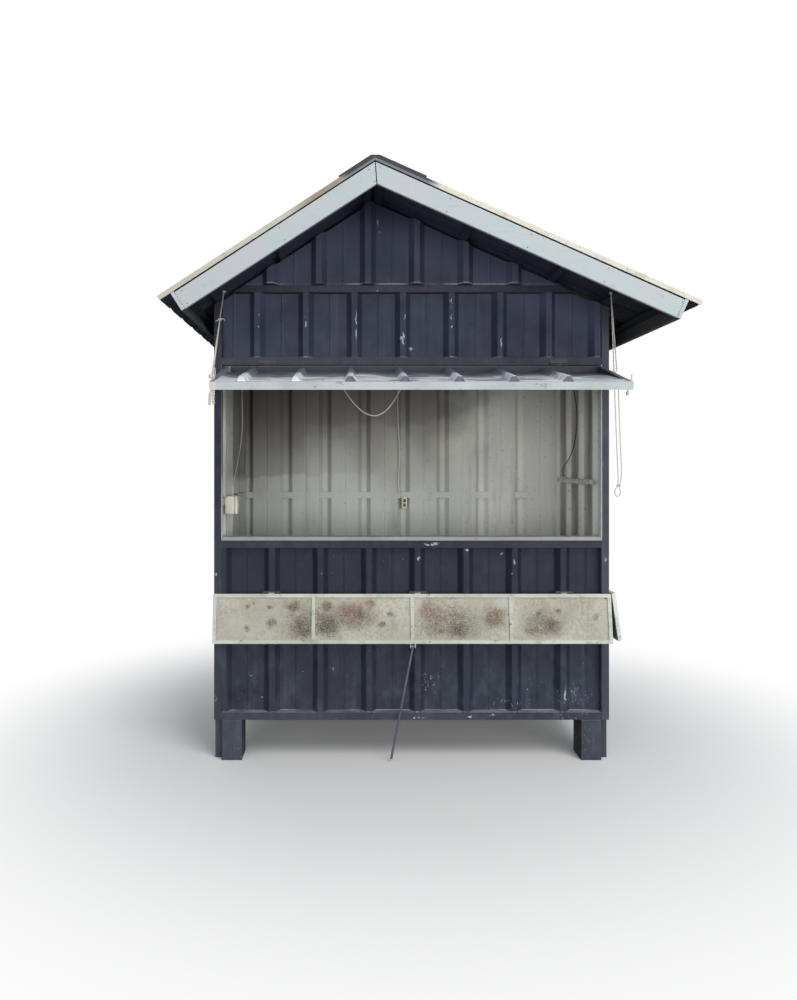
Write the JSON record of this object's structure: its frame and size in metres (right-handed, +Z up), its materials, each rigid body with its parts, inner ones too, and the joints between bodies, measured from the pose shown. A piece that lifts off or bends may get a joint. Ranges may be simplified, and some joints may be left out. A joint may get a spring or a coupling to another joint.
{
  "type": "street kiosk",
  "caption": "Raised street food kiosk of steel tube and ribbed sheet, with a serving opening, a hinged awning on ropes, fold-down ledges and an uneven gable roof.",
  "frame": {"origin": "on the ground under the middle of the roof's outline", "axes": "+X to the customer's right when facing the counter, -Y out of the front wall to the customer, +Z up"},
  "size_m": [2.4649, 2.006, 2.9239],
  "materials": {
    "painted_steel": "dark blue-grey paint, chipped",
    "bare_sheet": "pale ribbed sheet, dusty",
    "roof_sheet": "weathered coated sheet",
    "roof_board": "pale blue-grey paint, matt",
    "verge_strip": "cream paint with rust stains",
    "counter_edge": "pale grey paint, worn",
    "board": "bare board, worn",
    "awning_paint": "light grey paint, satin",
    "awning_sheet": "mill finish, dull",
    "ledge_paint": "cream-green paint, dull",
    "ledge_board": "pale board with dark stains",
    "rod": "dark grey paint, satin",
    "rope": "off-white laid rope",
    "white_cable": "white cable sheath",
    "black_cable": "black cable sheath",
    "switch_plastic": "cream plastic, dusty",
    "lamp_tube": "white tube, dusty"
  },
  "bodies": {
    "kiosk": {"leg_front_left": "painted_steel", "leg_front_right": "painted_steel", "leg_rear_left": "painted_steel", "leg_rear_right": "painted_steel", "base_rails": "painted_steel", "side_rails": "painted_steel", "floor_plate": "bare_sheet", "post_front_left": "painted_steel", "post_front_right": "painted_steel", "post_rear_left": "painted_steel", "post_rear_right": "painted_steel", "front_lower_sheet": "painted_steel", "sill_rail": "painted_steel", "sill_cap": "counter_edge", "head_rail": "painted_steel", "front_upper_sheet": "painted_steel", "front_tie": "painted_steel", "front_gable_sheet": "painted_steel", "rear_lower_sheet": "bare_sheet", "rear_mid_rail": "painted_steel", "rear_upper_sheet": "bare_sheet", "rear_tie": "painted_steel", "rear_gable_sheet": "painted_steel", "left_lower_sheet": "bare_sheet", "left_mid_rail": "painted_steel", "left_upper_sheet": "bare_sheet", "right_sheet": "bare_sheet", "top_plates": "painted_steel", "rafters": "painted_steel", "purlins": "painted_steel", "roof_sheet_left": "roof_sheet", "roof_sheet_right": "roof_sheet", "ridge_cap": "painted_steel", "verge_strips": "verge_strip", "barge_front": "roof_board", "barge_rear": "roof_board", "eave_boards": "roof_board", "worktop": "board", "worktop_brackets": "painted_steel", "switch_box": "switch_plastic", "wall_socket": "switch_plastic", "wall_lamp": "lamp_tube", "awning_hinges": "painted_steel", "ledge_hinges": "painted_steel", "rope_left": "rope", "rope_right": "rope", "lamp_cord": "black_cable", "box_cord": "white_cable", "socket_cord": "white_cable", "loop_wire": "white_cable"},
    "awning": {"awning_frame": "awning_paint", "awning_sheet": "awning_sheet", "rope_tail": "rope"},
    "front_ledge": {"front_ledge_frame": "ledge_paint", "front_ledge_boards": "ledge_board"},
    "prop": {"prop_rod": "rod"},
    "side_ledge": {"side_ledge_frame": "ledge_paint", "side_ledge_boards": "ledge_board"}
  },
  "joints": [
    {"name": "awning_hinge", "type": "hinge", "parent": "kiosk", "child": "awning", "pos_m": [-0.03545, -0.51, 2.043], "axis": [-1, 0, 0], "range_deg": [0, 45], "deforming": ["rope_left", "rope_right"]},
    {"name": "front_ledge_hinge", "type": "hinge", "parent": "kiosk", "child": "front_ledge", "pos_m": [-0.04245, -0.51, 0.869], "axis": [-1, 0, 0], "range_deg": [0, 82]},
    {"name": "prop_pivot", "type": "hinge", "parent": "front_ledge", "child": "prop", "pos_m": [-0.04045, -0.55924, 0.60125], "axis": [-1, 0, 0], "range_deg": [-82, 0]},
    {"name": "side_ledge_hinge", "type": "hinge", "parent": "kiosk", "child": "side_ledge", "pos_m": [0.98755, 0, 0.869], "axis": [0, -1, 0], "range_deg": [0, 82]}
  ],
  "couplings": [
    {"joint": "prop_pivot", "follows": "front_ledge_hinge", "ratio": -1}
  ]
}
